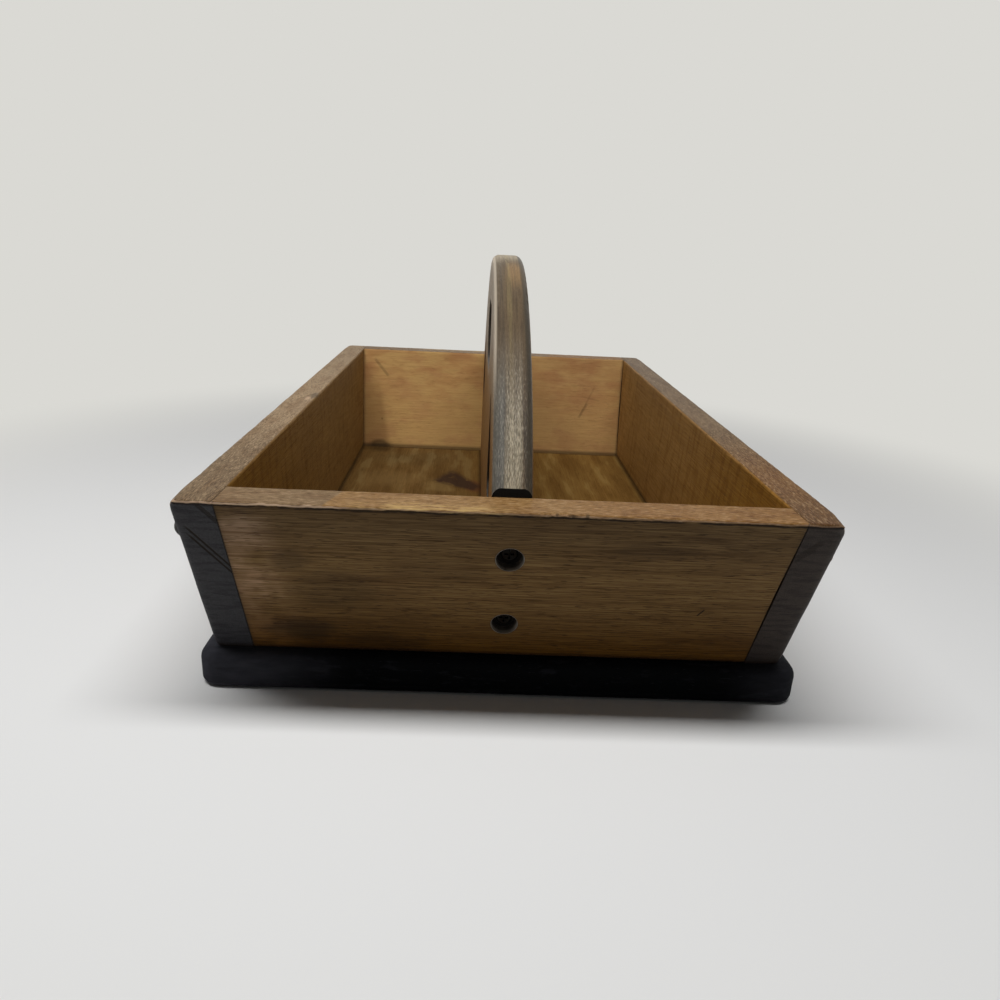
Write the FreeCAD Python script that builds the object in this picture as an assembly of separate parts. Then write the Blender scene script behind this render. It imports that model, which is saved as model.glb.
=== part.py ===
import FreeCAD, Part
import math
import os

# Wooden carrying tote: a shallow tray with splayed ends and nearly upright sides, screwed to
# a bullnosed base board. An arched handle board stands on the centre line from end to end and
# divides the tray in two. Nothing on it moves.
#
# Millimetres. Origin at the middle of the underside. +Z up, -Y towards the front end,
# +X towards the right side.

V = FreeCAD.Vector
DOWN, UP = V(0, 0, -1), V(0, 0, 1)

# Lumber
side_thickness = 19.05
end_thickness = 19.05
handle_thickness = 19.05
base_thickness = 19.05

# Tray, measured over the outside of its rim
rim_width = 288.5
rim_length = 455.0
tray_height = 87.0
end_splay = 20.0            # degrees that the two ends lean outwards
side_lean = 2.4             # degrees that the two sides lean outwards

# Sanded edges of the tray
rim_ease = 1.2
corner_round = 3.0          # outer corners of a side board, upright at its ends and along the rim
heel_round = 5.0            # long lower outer edge of a side board
toe_ease = 1.5              # lower outer edge of an end board
seam_ease = 0.4             # edges that meet a neighbouring board

# Base board
base_overhang = 7.5         # past the foot of the tray, all round
base_corner = 10.0          # corner radius seen from above
base_round = 6.0            # rounded over along the top edge
base_foot_round = 3.5       # and along the bottom edge

# Handle board
arch_rise = 96.5            # top of the arch above the rim
arch_shoulder = 4.0         # ends of the arch above the rim
arch_round = 4.5            # rounded over along both edges of the arch
arch_band = 33.0            # wood left between the arch and the openings under it
hand_hole_length = 96.0
hand_hole_height = 38.0
hand_hole_round = 4.0
window_width = 50.0         # opening near each end of the handle board
window_end_wood = 39.0      # from a window to the end board, at the rim
window_sill = 62.0          # above the tray floor
window_corner = 6.0
window_ease = 1.0

# Counterbored holes for the screws of the handle and the corners
counterbore_diameter = 12.7
counterbore_depth = 9.5
handle_screw_heights = {"lower": 21.7, "upper": 61.5}
corner_screw_drop = 18.0    # below the rim

# Wooden plugs over the corner screws: domed on the left side, cut off flush on the right
plug_head_diameter = 10.0
plug_dome = 4.5
plug_gap = 0.5              # between the plug's peg and the screw head under it

# Wood screws
screw_diameter = 4.2
screw_head_diameter = 8.2
pan_head_height = 2.9
pan_head_round = 1.1
flat_head_height = 2.8
flat_head_recess = 0.3      # below the underside of the base
recess_width = 1.1          # arms of the cross recess
recess_length = 4.6
recess_depth = 1.5
screw_point = 4.0
screw_tip_radius = 0.2
screw_clearance = 0.05      # in its pilot hole, on the radius
handle_screw_length = 31.8
corner_screw_length = 38.1
base_screw_length = 31.8

# Places of the base screws, from the foot's ends along each board
side_screw_inset = 46.0
end_screw_inset = 58.0
handle_screw_inset = 65.0

# Worked out from the sizes above
splay = math.tan(math.radians(end_splay))
lean = math.tan(math.radians(side_lean))
end_run = end_thickness / math.cos(math.radians(end_splay))      # thickness along Y
side_run = side_thickness / math.cos(math.radians(side_lean))    # thickness along X
floor_z = base_thickness
rim_z = floor_z + tray_height
foot_half_width = rim_width / 2 - tray_height * lean
foot_half_length = rim_length / 2 - tray_height * splay
counterbore_radius = counterbore_diameter / 2
handle_half = handle_thickness / 2
arch_half_span = rim_length / 2 - end_run
arch_height = arch_rise - arch_shoulder
arch_radius = (arch_half_span ** 2 + arch_height ** 2) / (2 * arch_height)
arch_centre_z = rim_z + arch_rise - arch_radius


def side_outer(z):
    """Half-width over the side boards at height z."""
    return foot_half_width + (z - floor_z) * lean


def side_inner(z):
    return side_outer(z) - side_run


def end_outer(z):
    """Half-length over the end boards at height z."""
    return foot_half_length + (z - floor_z) * splay


def end_inner(z):
    return end_outer(z) - end_run


def prism(outline, sweep):
    """Solid swept along a vector from a closed outline of points or edges."""
    if isinstance(outline[0], FreeCAD.Vector):
        wire = Part.makePolygon(outline + [outline[0]])
    else:
        wire = Part.Wire(Part.__sortEdges__(outline))
    return Part.Face(wire).extrude(sweep)


def cylinder(start, axis, radius, length):
    return Part.makeCylinder(radius, length, start, axis)


def eased(solid, radius, wanted):
    """Round the edges that the test picks by their end points."""
    edges = []
    for edge in solid.Edges:
        ends = [vertex.Point for vertex in edge.Vertexes]
        if len(ends) == 2 and wanted(ends[0], ends[1]):
            edges.append(edge)
    return solid.makeFillet(radius, edges)


def level(a, b, z):
    return abs(a.z - z) < 0.01 and abs(b.z - z) < 0.01


def mirrored_y(solid):
    return solid.mirror(V(0, 0, 0), V(0, 1, 0))


def mirrored_x(solid):
    return solid.mirror(V(0, 0, 0), V(1, 0, 0))


def cross_recess():
    """Cutter for a cross recess, sunk below the plane z = 0."""
    arm = Part.makeBox(recess_length, recess_width, recess_depth,
                       V(-recess_length / 2, -recess_width / 2, -recess_depth))
    other = arm.copy()
    other.rotate(V(0, 0, 0), UP, 90)
    return arm.fuse(other)


def wood_screw(length, head):
    """Screw that points down -Z. A pan head sits on z = 0, a flat head's top is at z = 0."""
    radius = screw_diameter / 2
    if head == "pan":
        head_top = pan_head_height
        shank_top = 0.0
        shank_length = length
        cap = Part.makeCylinder(screw_head_diameter / 2, pan_head_height)
        rim = [edge for edge in cap.Edges if edge.BoundBox.ZMin > pan_head_height - 0.01]
        cap = cap.makeFillet(pan_head_round, rim)
    else:
        head_top = 0.0
        shank_top = -flat_head_height
        shank_length = length - flat_head_height
        cap = Part.makeCone(radius, screw_head_diameter / 2, flat_head_height, V(0, 0, shank_top))
    straight = shank_length - screw_point
    shank = Part.makeCylinder(radius, straight, V(0, 0, shank_top), DOWN)
    point = Part.makeCone(radius, screw_tip_radius, screw_point,
                          V(0, 0, shank_top - straight), DOWN)
    screw = cap.fuse([shank, point]).removeSplitter()
    recess = cross_recess()
    recess.translate(V(0, 0, head_top))
    return screw.cut(recess)


def driven(screw, seat, direction):
    """Turn a screw so that it points along direction, with its seat at the given point."""
    placed = screw.copy()
    placed.Placement = FreeCAD.Placement(seat, FreeCAD.Rotation(DOWN, direction))
    return placed


def pilot_hole(start, direction, length):
    return cylinder(start, direction, screw_diameter / 2 + screw_clearance, length)


# Screws: seat of the head, direction and length

def handle_screw_seat(end, height):
    """Seat in an end board, at the floor of its counterbore. end is -1 at the front."""
    z = floor_z + height
    return V(0, end * (end_outer(z) - counterbore_depth), z)


def side_normal(side):
    """Outward normal of a side board's outer face. side is -1 on the left."""
    angle = math.radians(side_lean)
    return V(side * math.cos(angle), 0, -math.sin(angle))


def corner_face_point(side, end):
    """Where a corner screw's axis leaves the side board, over the middle of the end board."""
    z = rim_z - corner_screw_drop
    y = (end_outer(z) + end_inner(z)) / 2
    return V(side * side_outer(z), end * y, z)


def corner_screw_seat(side, end):
    """Seat in a side board, at the floor of its counterbore."""
    return corner_face_point(side, end) - side_normal(side) * counterbore_depth


def base_screw_points():
    """Name and place of each screw that comes up through the base board."""
    depth = base_screw_length - base_thickness
    mid_z = floor_z + depth / 2
    side_x = (side_outer(mid_z) + side_inner(mid_z)) / 2
    end_y = (end_outer(mid_z) + end_inner(mid_z)) / 2
    side_reach = foot_half_length - side_screw_inset
    end_reach = side_inner(floor_z) - end_screw_inset
    handle_reach = end_inner(floor_z) - handle_screw_inset
    points = {}
    for side, side_name in ((-1, "left"), (1, "right")):
        for step, step_name in ((-1, "front"), (0, "middle"), (1, "rear")):
            points[f"{side_name}_side_{step_name}"] = (side * side_x, step * side_reach)
    for end, end_name in ((-1, "front"), (1, "rear")):
        for step, step_name in ((-1, "left"), (1, "right")):
            points[f"{end_name}_end_{step_name}"] = (step * end_reach, end * end_y)
        points[f"handle_{end_name}"] = (0.0, end * handle_reach)
    return points


def base_screw_holes():
    """Countersunk hole for each base screw, through the base and into the board above."""
    radius = screw_diameter / 2 + screw_clearance
    head = screw_head_diameter / 2 + screw_clearance
    holes = []
    for x, y in base_screw_points().values():
        holes.append(pilot_hole(V(x, y, 0), UP, flat_head_recess + base_screw_length))
        seat_z = flat_head_recess
        holes.append(Part.makeCone(head, radius, flat_head_height, V(x, y, seat_z), UP))
        holes.append(cylinder(V(x, y, 0), UP, head, seat_z))
    return holes


# Boards

def base_board():
    half_width = foot_half_width + base_overhang
    half_length = foot_half_length + base_overhang
    board = Part.makeBox(2 * half_width, 2 * half_length, base_thickness,
                         V(-half_width, -half_length, 0))
    uprights = [edge for edge in board.Edges if edge.BoundBox.ZLength > base_thickness / 2]
    board = board.makeFillet(base_corner, uprights)
    for z, radius in ((base_thickness, base_round), (0, base_foot_round)):
        rim = [edge for edge in board.Edges
               if edge.BoundBox.ZLength < 0.01 and abs(edge.BoundBox.ZMin - z) < 0.01]
        board = board.makeFillet(radius, rim)
    return board.cut(base_screw_holes())


def right_side_board():
    """Runs the full length, with its ends cut to the slope of the end boards."""
    inner_foot = V(side_inner(floor_z), 0, floor_z)
    inner_rim = V(side_inner(rim_z), 0, rim_z)
    outer_rim = V(side_outer(rim_z), 0, rim_z)
    outer_foot = V(side_outer(floor_z), 0, floor_z)
    section = [inner_foot, inner_rim, outer_rim, outer_foot]
    start = V(0, -rim_length, 0)
    board = prism([point + start for point in section], V(0, 2 * rim_length, 0))
    heel = foot_half_width
    board = eased(board, heel_round,
                  lambda a, b: level(a, b, floor_z) and abs(a.x - heel) < 0.01
                  and abs(b.x - heel) < 0.01)
    reach = rim_width
    elevation = [V(-reach, -end_outer(floor_z), floor_z), V(-reach, -end_outer(rim_z), rim_z),
                 V(-reach, end_outer(rim_z), rim_z), V(-reach, end_outer(floor_z), floor_z)]
    board = board.common(prism(elevation, V(2 * reach, 0, 0)))
    board = eased(board, corner_round,
                  lambda a, b: min(a.x - side_inner(a.z), b.x - side_inner(b.z)) > side_run / 2
                  and (level(a, b, rim_z)
                       or (a.y * b.y > 0 and abs(a.z - b.z) > tray_height / 2)))
    board = eased(board, rim_ease, lambda a, b: level(a, b, rim_z))
    board = eased(board, seam_ease,
                  lambda a, b: abs(a.z - b.z) > tray_height / 2 and a.y * b.y > 0
                  and max(a.x - side_inner(a.z), b.x - side_inner(b.z)) < side_run / 4)
    cutters = base_screw_holes()
    for end in (-1, 1):
        seat = corner_screw_seat(1, end)
        cutters.append(cylinder(seat, side_normal(1), counterbore_radius, side_run))
        cutters.append(pilot_hole(seat, -side_normal(1), side_run))
    return board.cut(cutters)


def front_end_board():
    """Stands between the side boards, with its ends cut to their lean."""
    section = [V(0, -end_outer(floor_z), floor_z), V(0, -end_outer(rim_z), rim_z),
               V(0, -end_inner(rim_z), rim_z), V(0, -end_inner(floor_z), floor_z)]
    start = V(-rim_width, 0, 0)
    board = prism([point + start for point in section], V(2 * rim_width, 0, 0))
    between = [V(-side_inner(floor_z), -rim_length, floor_z),
               V(-side_inner(rim_z), -rim_length, rim_z),
               V(side_inner(rim_z), -rim_length, rim_z),
               V(side_inner(floor_z), -rim_length, floor_z)]
    board = board.common(prism(between, V(0, rim_length, 0)))
    board = eased(board, rim_ease,
                  lambda a, b: level(a, b, rim_z) and abs(a.y - b.y) < 0.01)
    board = eased(board, toe_ease,
                  lambda a, b: level(a, b, floor_z) and abs(a.y + foot_half_length) < 0.01
                  and abs(b.y + foot_half_length) < 0.01)
    cutters = base_screw_holes()
    for height in handle_screw_heights.values():
        seat = handle_screw_seat(-1, height)
        cutters.append(cylinder(seat, V(0, -1, 0), counterbore_radius, end_run * 2))
        cutters.append(pilot_hole(seat, V(0, 1, 0), end_run))
    for side in (-1, 1):
        seat = corner_screw_seat(side, -1)
        cutters.append(pilot_hole(seat, -side_normal(side), corner_screw_length))
    return board.cut(cutters)


def arch_z(y, inset):
    """Height of the arch at y, or of the line that runs inset under it."""
    return arch_centre_z + math.sqrt((arch_radius - inset) ** 2 - y ** 2)


def hand_hole():
    """Slot with round ends, under the top of the arch."""
    radius = hand_hole_height / 2
    middle_z = rim_z + arch_rise - arch_band - radius
    half = hand_hole_length / 2 - radius
    reach = handle_thickness
    box = Part.makeBox(2 * reach, 2 * half, hand_hole_height,
                       V(-reach, -half, middle_z - radius))
    ends = [cylinder(V(-reach, end * half, middle_z), V(1, 0, 0), radius, 2 * reach)
            for end in (-1, 1)]
    return box.fuse(ends).removeSplitter()


def front_window():
    """Opening near the front end, with a flat sill and a top that follows the arch."""
    outer_y = -(arch_half_span - window_end_wood)
    inner_y = outer_y + window_width
    middle_y = (outer_y + inner_y) / 2
    sill_z = floor_z + window_sill
    reach = handle_thickness

    def at(y, z):
        return V(-reach, y, z)

    outer_top = at(outer_y, arch_z(outer_y, arch_band))
    inner_top = at(inner_y, arch_z(inner_y, arch_band))
    middle_top = at(middle_y, arch_z(middle_y, arch_band))
    outline = [Part.LineSegment(at(inner_y, sill_z), at(outer_y, sill_z)).toShape(),
               Part.LineSegment(at(outer_y, sill_z), outer_top).toShape(),
               Part.Arc(outer_top, middle_top, inner_top).toShape(),
               Part.LineSegment(inner_top, at(inner_y, sill_z)).toShape()]
    window = prism(outline, V(2 * reach, 0, 0))
    corners = [edge for edge in window.Edges if edge.BoundBox.XLength > reach]
    return window.makeFillet(window_corner, corners)


def rounded_mouths(board, opening, radius):
    """Cut an opening through the handle board and round over both of its mouths."""
    board = board.cut(opening)
    box = opening.BoundBox
    mouths = []
    for edge in board.Edges:
        reach = edge.BoundBox
        inside = (reach.YMin > box.YMin - 0.01 and reach.YMax < box.YMax + 0.01
                  and reach.ZMin > box.ZMin - 0.01 and reach.ZMax < box.ZMax + 0.01)
        on_face = reach.XLength < 0.01 and abs(abs(reach.XMin) - handle_half) < 0.01
        if inside and on_face:
            mouths.append(edge)
    return board.makeFillet(radius, mouths)


def handle_board():
    """Divider up to the rim, arch with openings above it."""
    shoulder_z = rim_z + arch_shoulder

    def at(y, z):
        return V(-handle_half, y, z)

    points = [at(arch_half_span, shoulder_z), at(end_inner(rim_z), rim_z),
              at(end_inner(floor_z), floor_z), at(-end_inner(floor_z), floor_z),
              at(-end_inner(rim_z), rim_z), at(-arch_half_span, shoulder_z)]
    outline = [Part.LineSegment(a, b).toShape() for a, b in zip(points, points[1:])]
    outline.append(Part.Arc(points[-1], at(0, rim_z + arch_rise), points[0]).toShape())
    board = prism(outline, V(handle_thickness, 0, 0))
    arch = [edge for edge in board.Edges
            if edge.BoundBox.ZMax > shoulder_z + arch_height / 2 and edge.BoundBox.XLength < 0.01]
    board = board.makeFillet(arch_round, arch)
    board = rounded_mouths(board, hand_hole(), hand_hole_round)
    for window in (front_window(), mirrored_y(front_window())):
        board = rounded_mouths(board, window, window_ease)
    cutters = base_screw_holes()
    for end in (-1, 1):
        for height in handle_screw_heights.values():
            seat = handle_screw_seat(end, height)
            cutters.append(pilot_hole(seat, V(0, -end, 0), handle_screw_length))
    return board.cut(cutters)


def corner_plug(side, end):
    """Wooden plug that fills the counterbore, with a domed head on the left side of the tote."""
    outwards = side_normal(side)
    face = corner_face_point(side, end)
    peg_length = counterbore_depth - pan_head_height - plug_gap
    peg = cylinder(face, -outwards, counterbore_radius, peg_length)
    if side > 0:
        return peg
    head_radius = plug_head_diameter / 2
    ball_radius = (head_radius ** 2 + plug_dome ** 2) / (2 * plug_dome)
    ball = Part.makeSphere(ball_radius, face + outwards * (plug_dome - ball_radius))
    dome = ball.common(cylinder(face, outwards, head_radius, 2 * plug_dome))
    return peg.fuse(dome).removeSplitter()


# Every piece, under its node name

pan_screw_for_handle = wood_screw(handle_screw_length, "pan")
pan_screw_for_corner = wood_screw(corner_screw_length, "pan")
flat_screw = wood_screw(base_screw_length, "flat")

right_side = right_side_board()
front_end = front_end_board()

nodes = {
    "base_board": base_board(),
    "left_side_board": mirrored_x(right_side),
    "right_side_board": right_side,
    "front_end_board": front_end,
    "rear_end_board": mirrored_y(front_end),
    "handle_board": handle_board(),
}

for end, end_name in ((-1, "front"), (1, "rear")):
    for place, height in handle_screw_heights.items():
        nodes[f"handle_screw_{end_name}_{place}"] = driven(
            pan_screw_for_handle, handle_screw_seat(end, height), V(0, -end, 0))
    for side, side_name in ((-1, "left"), (1, "right")):
        nodes[f"corner_screw_{end_name}_{side_name}"] = driven(
            pan_screw_for_corner, corner_screw_seat(side, end), -side_normal(side))
        nodes[f"corner_plug_{end_name}_{side_name}"] = corner_plug(side, end)

for name, (x, y) in base_screw_points().items():
    nodes[f"base_screw_{name}"] = driven(flat_screw, V(x, y, flat_head_recess), UP)

os.makedirs("parts", exist_ok=True)
for name, shape in nodes.items():
    solid = shape.Solids[0]
    if len(shape.Solids) != 1 or not solid.isValid():
        raise ValueError(f"{name} is not one valid solid")
    solid.exportStep(f"parts/{name}.step")
    print(name, round(solid.Volume), [round(value, 1) for value in (
        solid.BoundBox.XMin, solid.BoundBox.XMax, solid.BoundBox.YMin, solid.BoundBox.YMax,
        solid.BoundBox.ZMin, solid.BoundBox.ZMax)])
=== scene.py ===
import math
from functools import partial, reduce

import bmesh
import bpy
from mathutils import Matrix, Vector, noise


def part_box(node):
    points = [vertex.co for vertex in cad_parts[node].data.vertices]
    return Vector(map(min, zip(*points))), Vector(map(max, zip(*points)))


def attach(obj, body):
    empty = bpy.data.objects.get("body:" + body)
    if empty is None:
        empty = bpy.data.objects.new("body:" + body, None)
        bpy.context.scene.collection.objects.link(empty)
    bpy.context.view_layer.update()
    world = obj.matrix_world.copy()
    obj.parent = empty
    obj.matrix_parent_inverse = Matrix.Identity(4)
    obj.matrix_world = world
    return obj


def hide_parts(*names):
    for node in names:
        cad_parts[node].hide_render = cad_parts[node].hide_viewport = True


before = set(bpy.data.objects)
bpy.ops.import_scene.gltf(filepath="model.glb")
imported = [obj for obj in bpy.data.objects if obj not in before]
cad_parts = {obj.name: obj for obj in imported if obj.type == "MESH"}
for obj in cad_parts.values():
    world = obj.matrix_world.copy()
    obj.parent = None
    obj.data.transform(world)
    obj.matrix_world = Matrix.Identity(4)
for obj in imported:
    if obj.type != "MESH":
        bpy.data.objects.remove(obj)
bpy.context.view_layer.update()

bl_info = {
    "name": "Wooden Tote",
    "version": (1, 0, 0),
    "blender": (4, 5, 0),
    "location": "3D View > Sidebar > Tote",
    "description": "Dresses the packed tote: worn oiled boards, a handled arch and a black base",
    "category": "Add Mesh",
}

FLOOR_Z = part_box("front_end_board")[0].z        # the tray's floor, the top of the base
RIM_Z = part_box("front_end_board")[1].z
MM = 0.001


# Settings

def linear(hex_colour):
    """Linear RGBA of an sRGB hex colour such as "6f5636"."""
    channels = []
    for start in (0, 2, 4):
        value = int(hex_colour[start:start + 2], 16) / 255
        channels.append(value / 12.92 if value <= 0.04045 else ((value + 0.055) / 1.055) ** 2.4)
    return (*channels, 1.0)


def colour(name, description, hex_colour):
    return bpy.props.FloatVectorProperty(
        name=name, description=description, default=linear(hex_colour), size=4,
        subtype="COLOR", min=0.0, max=1.0)


def length(name, description, millimetres):
    return bpy.props.FloatProperty(
        name=name, description=description, default=millimetres * MM, min=0.0,
        subtype="DISTANCE", unit="LENGTH")


def angle(name, description, degrees):
    return bpy.props.FloatProperty(
        name=name, description=description, default=math.radians(degrees),
        subtype="ANGLE", unit="ROTATION")


def power(name, description, watts):
    return bpy.props.FloatProperty(
        name=name, description=description, default=watts, min=0.0, unit="POWER")


class ToteShape(bpy.types.PropertyGroup):
    rim_width: length("Rim width", "Over the outside of the side boards", 288.5)
    rim_length: length("Rim length", "Over the outside of the end boards", 455.0)
    thickness: length("Board thickness", "Of the sides and the ends", 19.05)
    end_splay: angle("End splay", "Outward lean of the two end boards", 20.0)
    side_lean: angle("Side lean", "Outward lean of the two side boards", 2.4)
    rim_ease: length("Rim edge", "Radius of the sanded edges round the rim", 1.2)
    crest_ease: length("Rim ends", "The same, along both sloping ends of the tray", 1.75)
    seam_ease: length("Seam edge", "Radius of the edges that meet another board", 0.35)
    corner_round: length("Corner", "Radius of the upright outer corners", 3.0)
    heel_round: length("Heel", "Radius of the sides' lower outer edge", 5.0)
    toe_ease: length("Toe", "Radius of the ends' lower outer edge", 1.5)
    edge_wear: length("Edge wear", "How far knocks have eaten into the edges", 0.9)
    seam_gap: length("Seam gap", "Widest opening of a dried-out corner joint", 0.7)
    counterbore: length("Counterbore", "Diameter of the holes over the screws", 12.7)
    counterbore_depth: length("Counterbore depth", "Down to the screw's seat", 9.5)
    arch_shoulder: length("Arch shoulder", "Ends of the handle's arch above the rim", 4.0)


class ToteFinish(bpy.types.PropertyGroup):
    outer: colour("Outer faces", "Oiled wood, darkened by handling", "80643c")
    # Painted light on the outside beside the left joint.
    outer_lit: colour("Outer faces, rubbed", "Paler skin beside the left joint", "a88867")
    side_inner: colour("Sides, inside", "Oiled wood inside the tray", "aa8148")
    end_inner: colour("Ends, inside", "The same, kept palest and most golden", "c69e63")
    rim_bare: colour("Rim", "Oil worn off the top edges, golden", "947145")
    rim_brown: colour("Rim, brown", "Where some oil is left", "7f592c")
    rim_grey: colour("Rim, greyed", "Dusty grey-brown", "756149")
    rim_pale: colour("Rim, rubbed", "Left rim, where it is rubbed bare", "9f886b")
    # Bare fibres along the crests, also painted as a highlight along them.
    edge_pale_and_highlight: colour("Edges, rubbed", "Bare fibres along the crests", "c4a68a")
    sawn_left: colour("Sawn end, left", "Stain drunk in by end grain, grey", "3b3a3c")
    sawn_right: colour("Sawn end, right", "The same, browner", "3d3530")
    floor: colour("Tray floor", "Brown oiled face of the base board", "806031")
    # Also painted on the arch's end faces above the rim, as dark end grain deep in shade.
    base_black_and_shade: colour("Base", "Black stain, matt", "040506")
    base_worn: colour("Base, worn", "Blue-grey where the black has rubbed thin", "3b3b41")
    hand_grey: colour("Handle edge", "Wood greyed by hands", "5c4b35")
    # Painted sheen: the blue-grey look of the left half of the handle's edge.
    hand_sheen: colour("Handle edge, silvered", "Blue-grey weathered half", "656158")
    hand_pale: colour("Handle edge, polished", "Where palms rub it low down", "8c7f69")
    hand_tan: colour("Handle edge, bared", "Fresher wood at the top", "836845")
    hand_dark: colour("Handle edge, worn round", "Grimy rounded corner", "2f2a21")
    handle_face: colour("Handle faces", "Oiled wood, as the tray", "9a7347")
    # Painted sheen: the paler grey the handle's faces show above the rim.
    handle_face_sheen: colour("Handle faces, rubbed", "Greyed above the rim", "a38f76")
    # Rubbed bare, and painted as a highlight along the left arris.
    handle_bare_and_highlight: colour("Handle, bare", "Left arris of the arch, rubbed white", "c8b9a4")
    # Painted highlight: the light grey that the counterbore walls show where light catches them.
    hole_wall_highlight: colour("Hole wall", "Burnished grey by the drill", "aaa69e")
    # Also painted as shade deep in the counterbores and inside the openings of the handle.
    dirt_and_shade: colour("Dirt", "What collects in joints and dents", "1a120a")
    steel: colour("Screws", "Blackened steel", "1c1a18")


class ToteStage(bpy.types.PropertyGroup):
    ground: colour("Floor", "Pale cloth under the tote", "e6e6e5")
    backdrop: colour("Backdrop", "What fills the view past the floor", "dad9d4")
    key_power: power("Key light", "Long soft light that hangs crosswise over it", 13.0)
    front_power: power("Front light", "From behind and over the camera", 0.2)
    side_power: power("Side lights", "Soft light from the two sides", 0.5)
    rear_power: power("Rear light", "Low behind the tote, opens its rear shadow", 0.8)
    ambient: bpy.props.FloatProperty(
        name="Ambient", description="Strength of the even light all round", default=0.03, min=0.0)


# Nodes

def add(tree, kind, inputs=None, **settings):
    """Add a shader node with its settings, and link or set its inputs."""
    node = tree.nodes.new("ShaderNode" + kind)
    for name, value in settings.items():
        setattr(node, name, value)
    for key, value in (inputs or {}).items():
        if isinstance(value, bpy.types.NodeSocket):
            tree.links.new(value, node.inputs[key])
        else:
            node.inputs[key].default_value = value
    return node


class Coat:
    """A wood finish that is built up in layers over one node tree, in millimetres.

    A mask is a socket or a number. tint and shade also take several in a tuple, and multiply them.
    """

    def __init__(self, name, colour, specular=0.1):
        self.material = bpy.data.materials.new(name)
        self.material.use_nodes = True
        self.tree = self.material.node_tree
        self.tree.nodes.clear()
        output = add(self.tree, "OutputMaterial")
        self.shader = add(self.tree, "BsdfPrincipled", {"IOR": 1.5, "Specular IOR Level": specular})
        self.tree.links.new(self.shader.outputs["BSDF"], output.inputs["Surface"])
        metres = self.outcome("TexCoord", output="Object")
        self.place = add(self.tree, "VectorMath", {0: metres, "Scale": 1 / MM},
                         operation="SCALE").outputs["Vector"]
        self.normal = self.outcome("NewGeometry", output="Normal")
        self.colour = None
        self.start(colour)
        self.height = None

    def outcome(self, kind, *values, output=0, **settings):
        """One output of a node that is given its inputs in order."""
        return add(self.tree, kind, dict(enumerate(values)), **settings).outputs[output]

    def times(self, *values):
        """Product of masks or measures."""
        return reduce(partial(self.outcome, "Math", operation="MULTIPLY"), values)

    def either(self, *masks):
        """Highest of several masks."""
        return reduce(partial(self.outcome, "Math", operation="MAXIMUM"), masks)

    def inverse(self, mask):
        return self.outcome("Math", 1.0, mask, operation="SUBTRACT")

    def spread(self, size, along=None, length=None, detail=3.0, shift=0.0):
        """Noise with features of one size, drawn out along X, Y or Z where a length is given."""
        scale = Vector((1 / size,) * 3)
        if along is not None:
            scale["XYZ".index(along)] = 1 / length
        # Each axis is shifted by its own share, so that no two patterns line up.
        shifts = (shift, shift * 1.7, shift * 2.3)
        shifted = self.outcome("VectorMath", self.place, scale, shifts, operation="MULTIPLY_ADD")
        return add(self.tree, "TexNoise",
                   {"Vector": shifted, "Scale": 1.0, "Detail": detail, "Roughness": 0.55},
                   noise_dimensions="3D").outputs["Fac"]

    def ramp(self, value, low, high):
        """Smooth mask: 0 at low, 1 at high."""
        return add(self.tree, "MapRange", {"Value": value, "From Min": low, "From Max": high},
                   interpolation_type="SMOOTHSTEP").outputs["Result"]

    def facing(self, direction, low, high):
        """Mask of the surfaces that face a direction."""
        cosine = self.outcome("VectorMath", self.normal, Vector(direction).normalized(),
                              operation="DOT_PRODUCT", output="Value")
        return self.ramp(cosine, low, high)

    def within(self, direction, low, high):
        """Mask that grows from low to high along a direction, in millimetres."""
        travel = self.outcome("VectorMath", self.place, Vector(direction),
                              operation="DOT_PRODUCT", output="Value")
        return self.ramp(travel, low, high)

    def both(self, mask, direction, low, high):
        """A facing or within mask towards a direction and towards its mirror image."""
        x, y, z = direction
        return self.either(mask(direction, low, high), mask((-x, -y, z), low, high))

    def between(self, direction, low, high, soft):
        """Mask of a band along a direction, in millimetres, with soft sides."""
        back = [-part for part in direction]
        return self.times(self.within(direction, low - soft / 2, low + soft / 2),
                          self.within(back, -high - soft / 2, -high + soft / 2))

    def patch(self, centre, radii, wander=0.35, soft=0.6):
        """Mask of a stain with an uneven outline."""
        offset = self.outcome("VectorMath", self.place, Vector(centre), operation="SUBTRACT")
        share = self.outcome("VectorMath", offset, Vector(radii), operation="DIVIDE")
        reach = self.outcome("VectorMath", share, operation="LENGTH", output="Value")
        uneven = self.spread(min(radii) * 1.5, shift=centre[0])
        ragged = self.outcome("Math", uneven, wander * 2, reach, operation="MULTIPLY_ADD")
        return self.ramp(ragged, 1.0 + wander, 1.0 + wander - soft)

    def stroke(self, start, end, width):
        """Mask of a straight scratch or crack."""
        start, end = Vector(start), Vector(end)
        half = (end - start).length / 2
        offset = self.outcome("VectorMath", self.place, (start + end) / 2, operation="SUBTRACT")
        travel = self.outcome("VectorMath", offset, (end - start).normalized(),
                              operation="DOT_PRODUCT", output="Value")
        distance = self.outcome("VectorMath", offset, operation="LENGTH", output="Value")
        travel_2 = self.times(travel, travel)
        across_2 = self.outcome("Math", self.times(distance, distance), travel_2,
                                operation="SUBTRACT")
        return self.times(self.ramp(across_2, width ** 2, (width * 0.3) ** 2),
                          self.ramp(travel_2, half ** 2, (half * 0.7) ** 2))

    def edges(self, radius):
        """Mask of the edges, from how far a rounded normal turns away from the true one."""
        rounded = self.outcome("Bevel", radius * MM, samples=6)
        cosine = self.outcome("VectorMath", self.normal, rounded,
                              operation="DOT_PRODUCT", output="Value")
        return self.ramp(self.inverse(cosine), 0.02, 0.25)

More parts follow.
